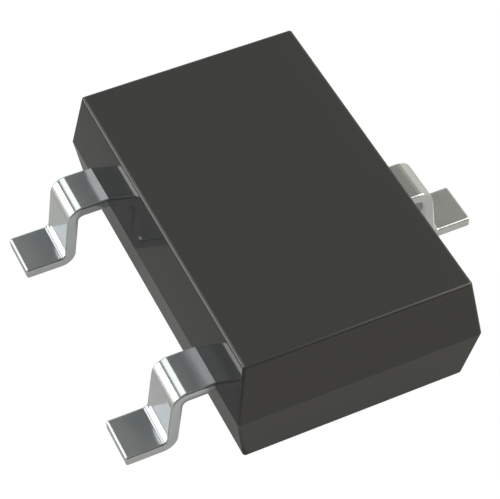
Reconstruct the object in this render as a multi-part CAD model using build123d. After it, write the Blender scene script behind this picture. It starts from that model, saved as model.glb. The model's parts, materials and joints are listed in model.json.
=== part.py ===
from build123d import *
from math import asin, degrees, radians, tan
import os

# Three-lead surface-mount transistor in a moulded package, in millimetres.
# Origin: on the board, midway between the feet. +X points to the single collector lead,
# +Y along the body towards the base lead, +Z up, away from the board.

# Moulded body
body_length = 3.00  # along Y, at the parting line
body_width = 1.90  # along X, at the parting line
upper_half_height = 0.502  # parting line to top
lower_half_height = 0.498  # parting line to underside
standoff = 0.020  # air between the underside and the board
draft_angle = 9.0  # slope of every side, degrees
body_edge_radius = 0.025

# Strip that the three leads are stamped from
strip_thickness = 0.085
lead_width = 0.357
lead_pitch = 1.90  # base lead to emitter lead
shoulder_length = 0.278  # body side to the crossing of shoulder and riser
foot_length = 0.352  # crossing of riser and foot to the tip
riser_lean = 7.15  # degrees from upright
bend_inner_radius = 0.047
stamped_corner_radius = 0.04

# Bond posts, the inner ends of the base and emitter leads
post_wall = 0.19  # plastic between a post and the body side
post_length = 0.44  # along X
post_split = 0.50  # gap between the two posts
post_lug = 0.07  # how far a post stands out past its lead, towards the body's end
lock_hole_radius = 0.065

# Die pad, the inner end of the collector lead
pad_wall = 0.28  # plastic between the pad and the body side
pad_post_gap = 0.17
pad_width = 1.04  # along Y
lock_notch_radius = 0.07

# Die, the layer that holds it and its two bond pads
die_side = 0.40
die_thickness = 0.15
attach_thickness = 0.015
attach_margin = 0.025
attach_corner_radius = 0.03
bond_pad_side = 0.10
bond_pad_height = 0.004
bond_pad_pitch = 0.20

# Bond wires
wire_radius = 0.0125
ball_radius = 0.036
ball_height = 0.022
loop_height = 0.19  # bond pad to the crossing of the wire's rise and fall
loop_radius = 0.05
stitch_length = 0.08  # oval that the wire's end is pressed to, on the post
stitch_width = 0.045
stitch_height = 0.012

# Levels
parting_z = standoff + lower_half_height
strip_bottom = parting_z - strip_thickness / 2
strip_top = strip_bottom + strip_thickness
die_bottom = strip_top + attach_thickness
die_top = die_bottom + die_thickness
bond_pad_top = die_top + bond_pad_height

# Distances from the body's middle plane, along X
body_side = body_width / 2
post_outer = body_side - post_wall
post_inner = post_outer - post_length
pad_outer = body_side - pad_wall
pad_inner = post_inner - pad_post_gap  # the pad's edge on the posts' side
post_x = (post_outer + post_inner) / 2
die_x = (pad_outer - pad_inner) / 2

# Places along Y
lead_y = lead_pitch / 2
post_near = post_split / 2
post_far = lead_y + lead_width / 2 + post_lug
stitch_y = post_near + stamped_corner_radius + stitch_length


def drafted_half(height):
    """Half of the body, on the parting plane. All its edges are rounded but the sharp parting edge."""
    block = extrude(Rectangle(body_width, body_length), height, taper=draft_angle)
    parting_edges = block.edges().group_by(Axis.Z)[0]
    return fillet(block.edges() - parting_edges, body_edge_radius)


def flat_strip(outline):
    """A flat stretch of the strip, at the level where it leaves the body."""
    return Pos(Z=strip_bottom) * extrude(outline, strip_thickness)


def gull_wing(reach_in):
    """The bent strip towards +X: from reach_in, inside the body, over the shoulder and down to the foot."""
    shoulder_end = body_side + shoulder_length
    foot_z = strip_thickness / 2
    foot_start = shoulder_end + (parting_z - foot_z) * tan(radians(riser_lean))
    middle_line = FilletPolyline(
        (reach_in, 0, parting_z),
        (shoulder_end, 0, parting_z),
        (foot_start, 0, foot_z),
        (foot_start + foot_length, 0, foot_z),
        radius=bend_inner_radius + strip_thickness / 2,
    )
    section = Plane(origin=middle_line @ 0, x_dir=(0, 1, 0), z_dir=middle_line % 0)
    return sweep(section * Rectangle(lead_width, strip_thickness), middle_line)


def make_collector_lead():
    """The single lead, with the die pad at its inner end. Two side notches lock the pad in the plastic."""
    pad = Pos(X=die_x) * RectangleRounded(pad_outer + pad_inner, pad_width, stamped_corner_radius)
    notch = Circle(lock_notch_radius)
    notches = Pos(die_x, pad_width / 2) * notch + Pos(die_x, -pad_width / 2) * notch
    return flat_strip(pad - notches) + gull_wing(pad_outer - stamped_corner_radius)


def make_base_lead():
    """The lead at -X, +Y, with a bond post that reaches towards the die. A hole locks it in the plastic."""
    middle_y = (post_near + post_far) / 2
    outline = RectangleRounded(post_length, post_far - post_near, stamped_corner_radius)
    post = Pos(-post_x, middle_y) * outline
    hole = Pos(-post_x, lead_y) * Circle(lock_hole_radius)
    wing = mirror(gull_wing(post_outer - stamped_corner_radius), Plane.YZ)
    return flat_strip(post - hole) + Pos(Y=lead_y) * wing


def make_die():
    """The silicon chip, with its base and emitter bond pads standing proud of the top."""
    chip = Pos(die_x, 0, die_bottom) * extrude(Rectangle(die_side, die_side), die_thickness)
    pad = extrude(Rectangle(bond_pad_side, bond_pad_side), bond_pad_height)
    for side in (1, -1):
        chip += Pos(die_x, side * bond_pad_pitch / 2, die_top) * pad
    return chip


def make_die_attach():
    """The thin layer between the die and its pad, a little wider than the die."""
    side = die_side + 2 * attach_margin
    outline = RectangleRounded(side, side, attach_corner_radius)
    return Pos(die_x, 0, strip_top) * extrude(outline, attach_thickness)


def make_base_wire():
    """A flattened ball on the die's base pad, a rise, an arc, a fall and an oval stitch on the post."""
    ball_foot = Vector(die_x, bond_pad_pitch / 2, bond_pad_top)
    along = Vector(-post_x - ball_foot.X, stitch_y - ball_foot.Y, 0)
    upright = Plane(origin=ball_foot, x_dir=along, z_dir=along.cross(Vector(0, 0, 1)))
    rise = ((0, ball_height / 2), (0, loop_height))
    landing = (along.length, strip_top - bond_pad_top)
    middle_line = upright * FilletPolyline(*rise, landing, radius=loop_radius)
    wire = sweep(Plane(origin=middle_line @ 0, z_dir=middle_line % 0) * Circle(wire_radius), middle_line)
    wire = split(wire, Plane.XY.offset(strip_top), keep=Keep.TOP)
    ball_latitude = degrees(asin(ball_height / 2 / ball_radius))
    ball = Pos(ball_foot) * Pos(Z=ball_height / 2) * Sphere(ball_radius, -ball_latitude, ball_latitude)
    stitch_plane = Plane(origin=upright.from_local_coords(landing), x_dir=along, z_dir=(0, 0, 1))
    stitch = extrude(stitch_plane * SlotOverall(stitch_length, stitch_width), stitch_height)
    return wire + ball + stitch


base_lead = make_base_lead()
base_wire = make_base_wire()
inner_pieces = {
    "base_lead": base_lead,
    "emitter_lead": mirror(base_lead, Plane.XZ),
    "collector_lead": make_collector_lead(),
    "die_attach": make_die_attach(),
    "silicon_die": make_die(),
    "base_wire": base_wire,
    "emitter_wire": mirror(base_wire, Plane.XZ),
}

# The plastic flows round everything, so its cavity is exactly the pieces that it holds
lower_half = mirror(drafted_half(lower_half_height), Plane.XY)
mould_body = Pos(Z=parting_z) * (drafted_half(upper_half_height) + lower_half)
for piece in inner_pieces.values():
    mould_body -= piece

os.makedirs("parts", exist_ok=True)
for name, piece in {"mould_body": mould_body, **inner_pieces}.items():
    export_step(piece, f"parts/{name}.step")
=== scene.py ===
import json
import math

import bpy
import numpy as np
from mathutils import Matrix, Vector


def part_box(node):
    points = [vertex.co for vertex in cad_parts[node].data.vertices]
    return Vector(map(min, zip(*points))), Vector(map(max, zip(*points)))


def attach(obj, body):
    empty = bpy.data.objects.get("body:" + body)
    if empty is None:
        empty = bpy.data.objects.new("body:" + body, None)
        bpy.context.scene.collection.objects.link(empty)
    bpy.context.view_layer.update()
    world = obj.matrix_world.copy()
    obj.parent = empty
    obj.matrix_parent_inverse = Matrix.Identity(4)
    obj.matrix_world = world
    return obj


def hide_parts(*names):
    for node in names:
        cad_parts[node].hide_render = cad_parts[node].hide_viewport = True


# A three-lead surface-mount transistor on white paper, under the soft panels of a box-shaped studio.
# Metres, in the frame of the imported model: +X to the collector lead, +Y to the base lead, +Z up.

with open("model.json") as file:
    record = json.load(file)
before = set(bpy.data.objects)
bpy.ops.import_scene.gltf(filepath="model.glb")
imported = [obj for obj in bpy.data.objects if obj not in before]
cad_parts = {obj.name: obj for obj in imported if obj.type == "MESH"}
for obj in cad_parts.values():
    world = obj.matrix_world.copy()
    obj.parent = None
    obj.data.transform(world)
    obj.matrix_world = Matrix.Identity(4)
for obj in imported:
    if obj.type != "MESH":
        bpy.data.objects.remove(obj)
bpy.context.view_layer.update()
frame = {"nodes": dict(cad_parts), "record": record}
mm = 0.001
black = (0.0, 0.0, 0.0)
plainWhite = (1.0, 1.0, 1.0)
print("frame loaded:", ", ".join(sorted(frame["nodes"])))


# A colour with full cover, as colour sockets take it
def rgba(colour):
    return (*colour, 1.0)


# One socket of a node tree. Sums and products of sockets and numbers add their Math nodes.
class Wire:
    def __init__(self, tree, socket=None):
        self.tree = tree
        self.socket = socket

    # Adds a node of a type: first its settings, then the values or links of its sockets. Gives the
    # outlet asked for.
    def add(self, kind, settings=None, sockets=None, outlet=0):
        node = self.tree.nodes.new(kind)
        for name, value in (settings or {}).items():
            setattr(node, name, value)
        for name, value in (sockets or {}).items():
            if isinstance(value, Wire):
                self.tree.links.new(value.socket, node.inputs[name])
            else:
                node.inputs[name].default_value = value
        return Wire(self.tree, node.outputs[outlet])

    # One Math node, with this socket as its first value
    def maths(self, operation, *others):
        return self.add("ShaderNodeMath", {"operation": operation}, dict(enumerate((self, *others))))

    def __add__(self, other):
        return self.maths("ADD", other)

    def __sub__(self, other):
        return self.maths("SUBTRACT", other)

    def __rsub__(self, other):
        return self.add("ShaderNodeMath", {"operation": "SUBTRACT"}, {0: other, 1: self})

    def __mul__(self, other):
        return self.maths("MULTIPLY", other)

    def __truediv__(self, other):
        return self.maths("DIVIDE", other)

    def __neg__(self):
        return self.maths("MULTIPLY", -1)

    __radd__ = __add__
    __rmul__ = __mul__

    # The x, y and z of this vector
    def axes(self):
        split = self.add("ShaderNodeSeparateXYZ", {}, {"Vector": self}).socket.node
        return [Wire(self.tree, outlet) for outlet in split.outputs]

    # 0 below start and 1 above end, with a smooth step between them
    def step(self, start, end):
        return self.add("ShaderNodeMapRange", {"interpolation_type": "SMOOTHSTEP"},
                        {"Value": self, "From Min": start, "From Max": end})

    # 1 inside the limits and 0 outside, with a soft step at either end
    def within(self, limits, soft):
        low, high = limits
        return self.step(low - soft, low) * (1 - self.step(high, high + soft))

    # One colour where this socket is 0, the other where it is 1. Inlets 6 and 7 and outlet 2 are the
    # colours of a Mix node.
    def blend(self, dark, light):
        return self.add("ShaderNodeMix", {"data_type": "RGBA"},
                        {"Factor": self, 6: rgba(dark), 7: rgba(light)}, outlet=2)


# A new material with a Principled surface, and fixed values on some of its sockets
def newFinish(name, sockets):
    finish = bpy.data.materials.new(name)
    finish.use_nodes = True
    surface = finish.node_tree.nodes["Principled BSDF"]
    for socket, value in sockets.items():
        surface.inputs[socket].default_value = value
    return finish, Wire(finish.node_tree), surface


# Noise on the piece's own coordinates, from 0 to 1; grain is the size of one speck
def grainOf(wire, grain):
    place = wire.add("ShaderNodeTexCoord", outlet="Object")
    return wire.add("ShaderNodeTexNoise", {}, {"Vector": place, "Scale": 1 / grain})


# A wire into one socket of the surface
def linkTo(surface, socket, wire):
    wire.tree.links.new(wire.socket, surface.inputs[socket])


# The normal of a surface that stands out by height times depth
def bumpOf(height, depth):
    return height.add("ShaderNodeBump", {}, {"Height": height, "Distance": depth})


compoundSet = {
    "sockets": {"IOR": 1.11, "Coat Weight": 0.147, "Coat IOR": 4.0, "Coat Roughness": 0.03},
    "dark": (0.0495, 0.0486, 0.0500),
    "light": (0.0525, 0.0516, 0.0530),
    "filler": 0.008 * mm,  # specks of silica filler
    "fillerStep": (0.35, 0.65),  # noise between which the tone goes from dark to light
    "roughness": (0.05, 0.08),
    "satin": 0.012 * mm,  # grain that the mould's walls leave
    "satinDepth": 0.00001 * mm,
}


# Black epoxy: tone = specks of filler, roughness and height = the mould wall's grain
def mouldingCompound():
    finish, wire, surface = newFinish("mouldingCompound", compoundSet["sockets"])
    specks = grainOf(wire, compoundSet["filler"]).step(*compoundSet["fillerStep"])
    satin = grainOf(wire, compoundSet["satin"])
    low, high = compoundSet["roughness"]
    linkTo(surface, "Base Color", specks.blend(compoundSet["dark"], compoundSet["light"]))
    linkTo(surface, "Roughness", satin * (high - low) + low)
    linkTo(surface, "Normal", bumpOf(satin, compoundSet["satinDepth"]))
    return finish


tinSet = {
    "sockets": {"Metallic": 0.76},
    "dark": (0.665, 0.685, 0.705),
    "light": (0.700, 0.720, 0.740),
    "patch": 0.120 * mm,  # slow change of the plate's crystals
    "patchStep": (0.3, 0.7),
    "grain": 0.009 * mm,
    "roughness": (0.08, 0.14),
    "grainDepth": 0.00008 * mm,
    # the near left lead is more matt beside the body: fully above the second X and below the first Y, and
    # not at all below the first X or above the second Y
    "rimRoughness": 0.10,
    "rimX": (-1.090 * mm, -1.030 * mm),
    "rimY": (-0.70 * mm, -0.60 * mm),
}


# Tin plate: tone = slow patches, roughness = patches and fine crystals together, plus the matt rim
def tinPlate():
    finish, wire, surface = newFinish("tinPlate", tinSet["sockets"])
    patches = grainOf(wire, tinSet["patch"])
    crystals = grainOf(wire, tinSet["grain"])
    low, high = tinSet["roughness"]
    x, y = wire.add("ShaderNodeTexCoord", outlet="Object").axes()[:2]
    rim = x.step(*tinSet["rimX"]) * (1 - y.step(*tinSet["rimY"])) * tinSet["rimRoughness"]
    tone = patches.step(*tinSet["patchStep"]).blend(tinSet["dark"], tinSet["light"])
    linkTo(surface, "Base Color", tone)
    linkTo(surface, "Roughness", (patches + crystals) * ((high - low) / 2) + low + rim)
    linkTo(surface, "Normal", bumpOf(crystals, tinSet["grainDepth"]))
    return finish


innerSet = {
    "silverEpoxy": {"sockets": {"Metallic": 0.6, "Roughness": 0.45}, "grain": 0.008 * mm,
                    "dark": (0.42, 0.42, 0.40), "light": (0.62, 0.62, 0.60)},
    "silicon": {"sockets": {"Metallic": 0.9, "Roughness": 0.12}, "grain": 0.060 * mm,
                "dark": (0.16, 0.17, 0.20), "light": (0.22, 0.23, 0.27)},
    "goldWire": {"sockets": {"Metallic": 1.0, "Roughness": 0.22}, "grain": 0.010 * mm,
                 "dark": (0.86, 0.62, 0.26), "light": (0.95, 0.73, 0.36)},
}
innerStep = (0.3, 0.7)  # noise between which the tone goes from dark to light


# A finish inside the body: its grain changes the tone between two colours
def innerFinish(name):
    values = innerSet[name]
    finish, wire, surface = newFinish(name, values["sockets"])
    grain = grainOf(wire, values["grain"]).step(*innerStep)
    linkTo(surface, "Base Color", grain.blend(values["dark"], values["light"]))
    return finish


finishes = {
    "moulding_compound": mouldingCompound(),
    "tin_plate": tinPlate(),
    "silver_epoxy": innerFinish("silverEpoxy"),
    "silicon": innerFinish("silicon"),
    "gold_wire": innerFinish("goldWire"),
}
for part in frame["record"]["subparts"]:
    node = frame["nodes"][part["node"]]
    for slot in node.material_slots:
        slot.material = finishes[part["material_slot"]]
print("finishes made:", ", ".join(finishes))


leadSet = {
    "thickness": 0.085 * mm,
    "width": 0.370 * mm,  # a little over the solid's, since the rounded edges draw the outline in
    "sideways": 0.0025 * mm,  # towards +Y
    "shoulder": 0.278 * mm,  # body side to the crossing of shoulder and riser
    "foot": 0.352 * mm,  # crossing of riser and foot to the tip
    "lean": math.radians(7.15),  # riser, from upright
    "bendInner": 0.047 * mm,  # at the shoulder
    "footInner": 0.0395 * mm,  # the foot's bend is a little tighter
    "bendSteps": 28,
    "stampedCorner": 0.040 * mm,
    "cornerSteps": 7,
    "lockSteps": 21,
    "edge": 0.015 * mm,  # rounding of every stamped edge
    "edgeSteps": 4,
    "edgeAngle": math.radians(40),  # edges that turn by more than this are rounded
    "margin": 0.004 * mm,  # narrow faces along the rounding, that keep the flats' shading level
    "snap": 1e-6 * mm,  # places that agree to this are one corner
}
# Reach moves a lead's bends and riser outwards, wall is the plastic between its plate and the body's side,
# and hole and notch are the radii of its locks.
leads = {
    "base_lead": {"foot": "base_foot", "reach": 0.0, "wall": 0.19 * mm, "hole": 0.065 * mm, "notch": 0.0},
    "emitter_lead": {"foot": "emitter_foot", "reach": 0.0, "wall": 0.19 * mm, "hole": 0.065 * mm,
                     "notch": 0.0},
    "collector_lead": {"foot": "collector_foot", "reach": 0.009 * mm, "wall": 0.28 * mm, "hole": 0.0,
                       "notch": 0.070 * mm},
}
footAt = {mount["name"]: mount["pos_m"] for mount in frame["record"]["mounts"]}


# Middle line of the bent strip, outwards from the body: an arc down at the shoulder, a straight riser that
# leans by a few degrees, and a tighter arc back to level at the foot. Each straight stretch has points a
# margin away from its ends. Arrays of x and z.
def wingLine(bodySide, middleZ, tipX, reach):
    margin = leadSet["margin"]
    upper = leadSet["bendInner"] + leadSet["thickness"] / 2
    lower = leadSet["footInner"] + leadSet["thickness"] / 2
    turn = math.pi / 2 - leadSet["lean"]
    footZ = leadSet["thickness"] / 2
    shoulderEnd = bodySide + leadSet["shoulder"] + reach - upper * math.tan(turn / 2)
    footStart = tipX - leadSet["foot"] + reach + lower * math.tan(turn / 2)
    angle = np.linspace(0, turn, leadSet["bendSteps"] + 1)
    upperX, upperZ = shoulderEnd + upper * np.sin(angle), middleZ - upper * (1 - np.cos(angle))
    lowerX, lowerZ = footStart - lower * np.sin(angle[::-1]), footZ + lower * (1 - np.cos(angle[::-1]))
    downX, downZ = margin * math.cos(turn), -margin * math.sin(turn)
    tipRound = leadSet["edge"] + margin
    x = np.concatenate([[bodySide - tipRound, shoulderEnd - margin], upperX,
                        [upperX[-1] + downX, lowerX[0] - downX], lowerX,
                        [footStart + margin, tipX - tipRound, tipX]])
    z = np.concatenate([[middleZ, middleZ], upperZ,
                        [upperZ[-1] + downZ, lowerZ[0] - downZ], lowerZ,
                        [footZ, footZ, footZ]])
    return x, z


# How far a stamped outline stands in from its side, at distances x along it: a quarter circle at either end
def cornerInset(x, start, end):
    corner = leadSet["stampedCorner"]
    reach = np.clip(corner - np.minimum(x - start, end - x), 0, corner)
    return corner - np.sqrt(corner ** 2 - reach ** 2)


# Half width of a round hole or notch at distances x along the strip
def lockWidth(x, centre, radius):
    return np.sqrt(np.maximum(radius ** 2 - (x - centre) ** 2, 0))


# The middle surface of one lead as rows across it, and how many of them are on the plate. Each row has
# eight places across: the plate's low side, the strip's low side, a margin in from it, the hole's two sides,
# and the same on the high side.
def leadRows(name, values):
    low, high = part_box(name)
    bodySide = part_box("mould_body")[1].x
    footX, footY = footAt[values["foot"]][:2]
    middleY = footY + leadSet["sideways"]
    outwards = math.copysign(1, footX)
    inner, tip = (low.x, high.x) if outwards > 0 else (-high.x, -low.x)
    plateEnd = bodySide - values["wall"]
    middleZ = high.z - leadSet["thickness"] / 2
    lockX = (inner + plateEnd) / 2
    lock = max(values["hole"], values["notch"])
    cornerAngle = np.linspace(0, math.pi / 2, leadSet["cornerSteps"])
    cornerX = leadSet["stampedCorner"] * (1 - np.cos(cornerAngle))
    aroundLock = lockX - lock * np.cos(np.linspace(0, math.pi, leadSet["lockSteps"]))
    plateX = np.concatenate([inner + cornerX, aroundLock, plateEnd - cornerX[::-1]])
    plateRows = len(plateX)
    wingX, wingZ = wingLine(bodySide, middleZ, tip, values["reach"])
    inset = cornerInset(plateX, inner, plateEnd)
    notch = lockWidth(plateX, lockX, values["notch"])
    hole = lockWidth(plateX, lockX, values["hole"])
    half = leadSet["width"] / 2
    inside = half - leadSet["edge"] - leadSet["margin"]
    across = middleY + np.array([-half, -half, -inside, 0, 0, inside, half, half])
    y = np.tile(across, (plateRows + len(wingX), 1))
    y[:plateRows, 0] = low.y + inset + notch
    y[:plateRows, 7] = high.y - inset - notch
    y[:plateRows, 3] -= hole
    y[:plateRows, 4] += hole
    along = np.concatenate([plateX, wingX]) * outwards
    level = np.concatenate([np.full(plateRows, middleZ), wingZ])
    x = np.repeat(along[:, None], len(across), axis=1)
    z = np.repeat(level[:, None], len(across), axis=1)
    return np.stack([x, y, z], axis=2), plateRows


# One lead: the quads between its rows, thickened to the strip and rounded on every stamped edge. The
# outermost quads end with the plate, and the middle ones are left out for the hole.
def makeLead(name, values):
    grid, plateRows = leadRows(name, values)
    rows, columns = grid.shape[:2]
    number = np.arange(rows * columns).reshape(rows, columns)
    quads = []
    for column, lastRow in ((0, plateRows), (1, rows), (2, rows), (4, rows), (5, rows), (6, plateRows)):
        block = number[:lastRow, column:column + 2]
        quads.append(np.stack([block[:-1, 0], block[1:, 0], block[1:, 1], block[:-1, 1]], axis=1))
    quads = np.concatenate(quads)
    # corners that lie at the same place become one, and those that no quad uses go
    snap = leadSet["snap"]
    steps = np.round(grid.reshape(-1, 3) / snap).astype(np.int64)
    places, shared = np.unique(steps, axis=0, return_inverse=True)
    used, quads = np.unique(shared.ravel()[quads], return_inverse=True)
    mesh = bpy.data.meshes.new("tinned_" + name)
    mesh.from_pydata((places[used] * snap).tolist(), [], quads.reshape(-1, 4).tolist())
    mesh.shade_smooth()
    mesh.materials.append(finishes["tin_plate"])
    lead = bpy.data.objects.new("tinned_" + name, mesh)
    bpy.context.scene.collection.objects.link(lead)
    wall = lead.modifiers.new("strip", "SOLIDIFY")
    wall.thickness = leadSet["thickness"]
    wall.offset = 0
    wall.use_even_offset = True
    edge = lead.modifiers.new("edges", "BEVEL")
    edge.width = leadSet["edge"]
    edge.segments = leadSet["edgeSteps"]
    edge.limit_method = "ANGLE"
    edge.angle_limit = leadSet["edgeAngle"]
    edge.use_clamp_overlap = False
    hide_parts(name)
    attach(lead, "root")


for name, values in leads.items():
    makeLead(name, values)
print("leads made:", ", ".join(leads))


studioSet = {
    "dome": (0.041, 0.045, 0.039),
    # Each panel is a rectangle on the ceiling or on a wall, with soft edges. For the ceiling its u and v are
    # x and y over the height, and for a wall the level direction and z over the distance.
    "panels": {
        # the light band on the shoulders' bends, and its brighter core
        "backStrip": {"on": "ceiling", "u": (-0.65, 0.045), "v": (0.45, 1.30), "soft": 0.03,
                      "tint": (1.34, 1.36, 1.35)},
        "backCore": {"on": "ceiling", "u": (-0.42, -0.08), "v": (0.62, 1.02), "soft": 0.10,
                     "tint": (0.25, 0.25, 0.24)},
        # what every level top mirrors
        "backGlow": {"on": "ceiling", "u": (0.12, 0.52), "v": (0.50, 1.20), "soft": 0.08,
                     "tint": (0.066, 0.071, 0.072)},
        "farGlow": {"on": "ceiling", "u": (0.20, 0.45), "v": (0.85, 1.30), "soft": 0.06,
                    "tint": (0.016, 0.015, 0.014)},
        "rightBack": {"on": "ceiling", "u": (0.60, 1.00), "v": (0.50, 1.20), "soft": 0.14,
                      "tint": (0.262, 0.247, 0.185)},
        # the main light, from the right, and its soft rim
        "rightKey": {"on": "ceiling", "u": (0.56, 1.60), "v": (-1.00, 0.30), "soft": 0.06,
                     "tint": (4.33, 4.06, 3.41)},
        "keyFringe": {"on": "ceiling", "u": (0.50, 0.52), "v": (-0.36, 0.18), "soft": 0.235,
                      "tint": (2.55, 2.46, 2.16)},
        # the dimmer rest of the ceiling
        "leftKey": {"on": "ceiling", "u": (-1.10, -0.10), "v": (-1.10, 0.15), "soft": 0.10,
                    "tint": (0.22, 0.26, 0.28)},
        "middle": {"on": "ceiling", "u": (0.08, 0.45), "v": (-0.50, 0.42), "soft": 0.06,
                   "tint": (0.112, 0.119, 0.115)},
        "frontRight": {"on": "ceiling", "u": (0.55, 1.80), "v": (-2.20, -1.10), "soft": 0.10,
                       "tint": (0.11, 0.12, 0.11)},
        "leftCeiling": {"on": "ceiling", "u": (-2.00, -0.75), "v": (-0.30, 1.20), "soft": 0.10,
                        "tint": (0.30, 0.30, 0.30)},
        # the second light band on the left bends
        "leftWall": {"on": "left", "u": (0.55, 1.15), "v": (0.065, 0.82), "soft": 0.04,
                     "tint": (3.98, 3.95, 3.73)},
        # the dimmer rest of the walls
        "leftFront": {"on": "left", "u": (-1.50, 0.32), "v": (-0.20, 0.80), "soft": 0.10,
                      "tint": (0.20, 0.23, 0.24)},
        "backWall": {"on": "back", "u": (-0.70, 1.00), "v": (-0.20, 0.65), "soft": 0.10,
                     "tint": (0.59, 0.70, 0.76)},
        "rightWall": {"on": "right", "u": (-1.50, 1.80), "v": (-0.60, 0.70), "soft": 0.35,
                      "tint": (0.58, 0.58, 0.52)},
    },
}


# Light from a panel: its colour inside a rectangle of u and v, with soft edges, and 0 behind the part
def panelLight(surfaces, panel):
    side, up, depth = surfaces[panel["on"]]
    mask = depth.maths("GREATER_THAN", 0)
    mask = mask * (side / depth).within(panel["u"], panel["soft"])
    mask = mask * (up / depth).within(panel["v"], panel["soft"])
    return mask.blend(black, panel["tint"])


# The studio: a grey dome plus its panels, and plain white where the camera looks past the floor
def makeStudio():
    world = bpy.data.worlds.new("studio")
    bpy.context.scene.world = world
    world.use_nodes = True
    wire = Wire(world.node_tree)
    x, y, z = wire.add("ShaderNodeTexCoord", outlet="Generated").axes()
    surfaces = {"ceiling": (x, y, z), "left": (y, z, -x), "right": (y, z, x), "back": (x, z, y)}
    light = rgba(studioSet["dome"])
    for panel in studioSet["panels"].values():
        light = wire.add("ShaderNodeMix", {"data_type": "RGBA", "blend_type": "ADD"},
                         {"Factor": 1.0, 6: light, 7: panelLight(surfaces, panel)}, outlet=2)
    studio = wire.add("ShaderNodeBackground", {}, {"Color": light})
    backdrop = wire.add("ShaderNodeBackground", {}, {"Color": rgba(plainWhite)})
    seen = wire.add("ShaderNodeLightPath", outlet="Is Camera Ray")
    shown = wire.add("ShaderNodeMixShader", {}, {0: seen, 1: studio, 2: backdrop})
    world.node_tree.links.new(shown.socket, world.node_tree.nodes["World Output"].inputs["Surface"])


floorSet = {
    "sockets": {"Base Color": rgba((0.310, 0.305, 0.284)), "Roughness": 0.15, "IOR": 1.07},
    "halfSide": 0.5,  # metres
    "drop": 0.0005 * mm,  # below the feet, so that their undersides stay clear of it
    "glow": (1.00, 0.99, 0.95),  # white of the paper as the part mirrors it
    "glowStrength": 1.05,
    "cameraWhite": 0.95,  # how much of what the camera sees is plain white; the rest holds the shadow
    # how much of what the part mirrors is the glow: around the part, where the extra glow is painted light
    # over the part's shadow, and farther out
    "mirrorNear": 0.45,
    "mirrorFar": 0.305,
    "near": ((-1.31 * mm, 1.42 * mm), (-1.70 * mm, 2.50 * mm)),  # ranges of X and Y
    "nearSoft": 0.50 * mm,
    # strips of painted shade, with less glow: at the body's left side, for the shade under its overhang, and
    # beyond it at the right lead
    "bare": (
        {"at": ((-1.03 * mm, -0.86 * mm), (-1.45 * mm, 1.80 * mm)), "soft": 0.05 * mm, "white": 0.215},
        {"at": ((0.98 * mm, 1.28 * mm), (0.12 * mm, 0.60 * mm)), "soft": 0.05 * mm, "white": 0.20},
    ),
    # in the front left the far paper has no mirrored glow, a painted darker patch in the part's reflections;
    # the paper lightens between these values of X and of Y
    "farDark": ((-2.30 * mm, -1.40 * mm), (-1.70 * mm, -1.10 * mm)),
}


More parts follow.
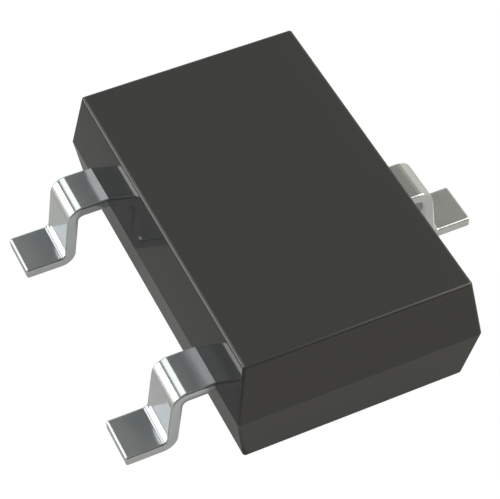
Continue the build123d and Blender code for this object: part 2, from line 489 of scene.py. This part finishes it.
# White paper under the part. The camera sees it nearly plain white, and what is left holds the part's
# shadow. What the part mirrors of it glows, with painted light around the part and painted shade in two
# strips. From below, it lets the camera through.
def makeFloor():
    finish, wire, surface = newFinish("paper", floorSet["sockets"])
    seen = wire.add("ShaderNodeLightPath", outlet="Is Camera Ray")
    tone = seen.blend(floorSet["glow"], plainWhite)
    glow = wire.add("ShaderNodeEmission", {}, {"Color": tone, "Strength": floorSet["glowStrength"]})
    x, y = wire.add("ShaderNodeTexCoord", outlet="Object").axes()[:2]

    # 1 on a rectangle of the paper and 0 outside it, with soft edges
    def zone(limits, soft):
        return x.within(limits[0], soft) * y.within(limits[1], soft)

    # around the part the mirrored glow is raised: painted light over the part's shadow in its reflections
    near = zone(floorSet["near"], floorSet["nearSoft"])
    # the far glow, left out in the front left as a painted darker patch in reflections
    darkX, darkY = floorSet["farDark"]
    far = (1 - (1 - x.step(*darkX)) * (1 - y.step(*darkY))) * floorSet["mirrorFar"]
    white = near * floorSet["mirrorNear"] + (1 - near) * far
    # the strips of painted shade take glow out of what the part mirrors
    for strip in floorSet["bare"]:
        bare = zone(strip["at"], strip["soft"])
        white = bare * strip["white"] + (1 - bare) * white
    mirrored = wire.add("ShaderNodeLightPath", outlet="Is Glossy Ray") * white
    paper = Wire(finish.node_tree, surface.outputs[0])
    share = seen * floorSet["cameraWhite"] + mirrored
    lit = wire.add("ShaderNodeMixShader", {}, {0: share, 1: paper, 2: glow})
    behind = wire.add("ShaderNodeNewGeometry", outlet="Backfacing")
    clear = wire.add("ShaderNodeBsdfTransparent")
    shown = wire.add("ShaderNodeMixShader", {}, {0: behind, 1: lit, 2: clear})
    finish.node_tree.links.new(shown.socket, finish.node_tree.nodes["Material Output"].inputs["Surface"])
    half, level = floorSet["halfSide"], -floorSet["drop"]
    corners = [(-half, -half, level), (half, -half, level), (half, half, level), (-half, half, level)]
    mesh = bpy.data.meshes.new("paper")
    mesh.from_pydata(corners, [], [(0, 1, 2, 3)])
    mesh.materials.append(finish)
    floor = bpy.data.objects.new("paper", mesh)
    bpy.context.scene.collection.objects.link(floor)


makeStudio()
makeFloor()
print("studio made")


cameraSet = {
    "aim": (-0.190 * mm, -0.084 * mm, 0.510 * mm),
    "distance": 14.662 * mm,
    "azimuth": math.radians(-25.543),
    "elevation": math.radians(48.770),
    "roll": math.radians(0.184),
    "lens": 144.57,  # in millimetres, like the sensor
    "sensor": 36.0,
    "clip": (0.5 * mm, 10.0),
}


# The camera stands back from its aim point, along the azimuth and elevation, and turns about its own axis
# by the roll
def makeCamera():
    azimuth, elevation = cameraSet["azimuth"], cameraSet["elevation"]
    back = Vector((math.sin(azimuth) * math.cos(elevation), -math.cos(azimuth) * math.cos(elevation),
                   math.sin(elevation)))
    data = bpy.data.cameras.new("camera")
    data.lens = cameraSet["lens"]
    data.sensor_width = cameraSet["sensor"]
    data.clip_start, data.clip_end = cameraSet["clip"]
    camera = bpy.data.objects.new("camera", data)
    bpy.context.scene.collection.objects.link(camera)
    turn = (-back).to_track_quat("-Z", "Y").to_matrix().to_4x4() @ Matrix.Rotation(cameraSet["roll"], 4, "Z")
    camera.matrix_world = Matrix.Translation(Vector(cameraSet["aim"]) + back * cameraSet["distance"]) @ turn
    bpy.context.scene.camera = camera


makeCamera()
bpy.context.scene.view_settings.view_transform = "Standard"
print("camera set")
